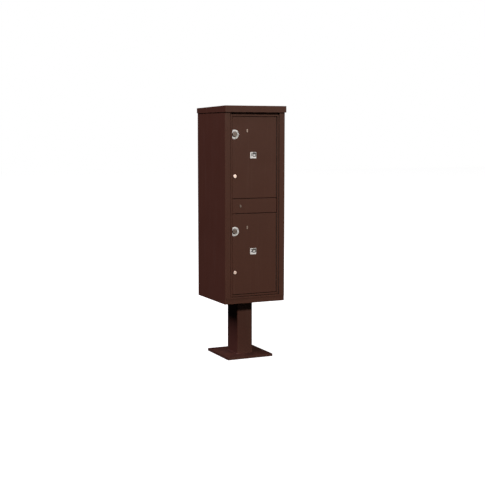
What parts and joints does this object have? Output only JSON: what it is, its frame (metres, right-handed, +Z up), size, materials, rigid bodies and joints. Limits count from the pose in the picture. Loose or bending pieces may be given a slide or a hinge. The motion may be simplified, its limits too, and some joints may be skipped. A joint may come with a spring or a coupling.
{
  "type": "cluster mailbox unit",
  "caption": "Pedestal-mounted outdoor parcel mailbox cabinet with hinged compartment doors in a larger hinged carrier door, cam locks, sloping hood and bolt-down base.",
  "frame": {"origin": "centre of the anchor-bolt pattern, on the underside of the base plate (ground level)", "axes": "+Z up, doors and front face towards -Y, +X to the right of a person facing the front"},
  "size_m": [0.4154, 0.4493, 1.5811],
  "materials": {
    "bronze_paint": "satin",
    "pedestal_paint": "satin",
    "hinge_metal": "matte",
    "stainless": "satin",
    "lock_nickel": "polished",
    "zinc_steel": "satin",
    "label_film": "satin"
  },
  "bodies": {
    "cabinet": {"pedestal_base_plate": "pedestal_paint", "pedestal_post": "pedestal_paint", "pedestal_top_plate": "pedestal_paint", "cabinet_bolts": "stainless", "cabinet_nuts": "stainless", "hood_screws": "stainless", "carrier_hinge_pin": "stainless", "bottom_pan": "bronze_paint", "left_side_panel": "bronze_paint", "right_side_panel": "bronze_paint", "back_panel": "bronze_paint", "top_panel": "bronze_paint", "hood": "bronze_paint", "hood_supports": "bronze_paint", "frame_left_stile": "bronze_paint", "frame_right_stile": "bronze_paint", "frame_header": "bronze_paint", "frame_sill": "bronze_paint", "compartment_shelf": "bronze_paint", "lower_compartment_floor": "bronze_paint", "carrier_frame_hinge_leaf": "hinge_metal", "carrier_strike": "zinc_steel"},
    "carrier_door": {"carrier_left_stile": "bronze_paint", "carrier_right_stile": "bronze_paint", "carrier_top_rail": "bronze_paint", "carrier_bottom_rail": "bronze_paint", "mid_rail_panel": "bronze_paint", "carrier_door_hinge_leaf": "hinge_metal", "carrier_lock_case": "zinc_steel", "carrier_lock_escutcheon": "lock_nickel", "upper_frame_hinge_leaf": "hinge_metal", "upper_hinge_pin": "stainless", "lower_frame_hinge_leaf": "hinge_metal", "lower_hinge_pin": "stainless"},
    "carrier_plug": {"carrier_lock_plug": "lock_nickel"},
    "carrier_bolt": {"carrier_lock_bolt": "zinc_steel"},
    "upper_door": {"upper_door_panel": "bronze_paint", "upper_door_hinge_leaf": "hinge_metal", "upper_ring_label": "label_film", "upper_number_label": "label_film", "upper_release_escutcheon": "lock_nickel", "upper_key_lock_body": "lock_nickel", "upper_service_lock_body": "lock_nickel", "upper_lock_nuts": "zinc_steel"},
    "upper_key_plug": {"upper_key_lock_plug": "lock_nickel", "upper_key_lock_cam": "zinc_steel"},
    "upper_service_plug": {"upper_service_lock_plug": "lock_nickel", "upper_service_lock_cam": "zinc_steel"},
    "lower_door": {"lower_door_panel": "bronze_paint", "lower_door_hinge_leaf": "hinge_metal", "lower_ring_label": "label_film", "lower_number_label": "label_film", "lower_release_escutcheon": "lock_nickel", "lower_key_lock_body": "lock_nickel", "lower_service_lock_body": "lock_nickel", "lower_lock_nuts": "zinc_steel"},
    "lower_key_plug": {"lower_key_lock_plug": "lock_nickel", "lower_key_lock_cam": "zinc_steel"},
    "lower_service_plug": {"lower_service_lock_plug": "lock_nickel", "lower_service_lock_cam": "zinc_steel"}
  },
  "joints": [
    {"name": "carrier_door_hinge", "type": "hinge", "parent": "cabinet", "child": "carrier_door", "pos_m": [0.163, -0.2253, 0.9695], "axis": [0, 0, 1], "range_deg": [0, 100]},
    {"name": "carrier_plug_turn", "type": "hinge", "parent": "carrier_door", "child": "carrier_plug", "pos_m": [-0.0996, -0.2279, 0.97], "axis": [0, -1, 0], "range_deg": [0, 90]},
    {"name": "carrier_bolt_slide", "type": "slide", "parent": "carrier_door", "child": "carrier_bolt", "axis": [-1, 0, 0], "range_m": [0, 0.018]},
    {"name": "upper_door_hinge", "type": "hinge", "parent": "carrier_door", "child": "upper_door", "pos_m": [0.1476, -0.2253, 1.2655], "axis": [0, 0, 1], "range_deg": [0, 90]},
    {"name": "upper_key_plug_turn", "type": "hinge", "parent": "upper_door", "child": "upper_key_plug", "pos_m": [-0.1392, -0.2279, 1.4076], "axis": [0, 1, 0], "range_deg": [0, 90]},
    {"name": "upper_service_plug_turn", "type": "hinge", "parent": "upper_door", "child": "upper_service_plug", "pos_m": [-0.138, -0.2279, 1.1539], "axis": [0, 1, 0], "range_deg": [0, 90]},
    {"name": "lower_door_hinge", "type": "hinge", "parent": "carrier_door", "child": "lower_door", "pos_m": [0.1476, -0.2253, 0.6735], "axis": [0, 0, 1], "range_deg": [0, 90]},
    {"name": "lower_key_plug_turn", "type": "hinge", "parent": "lower_door", "child": "lower_key_plug", "pos_m": [-0.1392, -0.2279, 0.8156], "axis": [0, 1, 0], "range_deg": [0, 90]},
    {"name": "lower_service_plug_turn", "type": "hinge", "parent": "lower_door", "child": "lower_service_plug", "pos_m": [-0.138, -0.2279, 0.5619], "axis": [0, 1, 0], "range_deg": [0, 90]}
  ],
  "couplings": [
    {"joint": "carrier_plug_turn", "follows": "carrier_bolt_slide", "rad_per_m": 87.26}
  ]
}
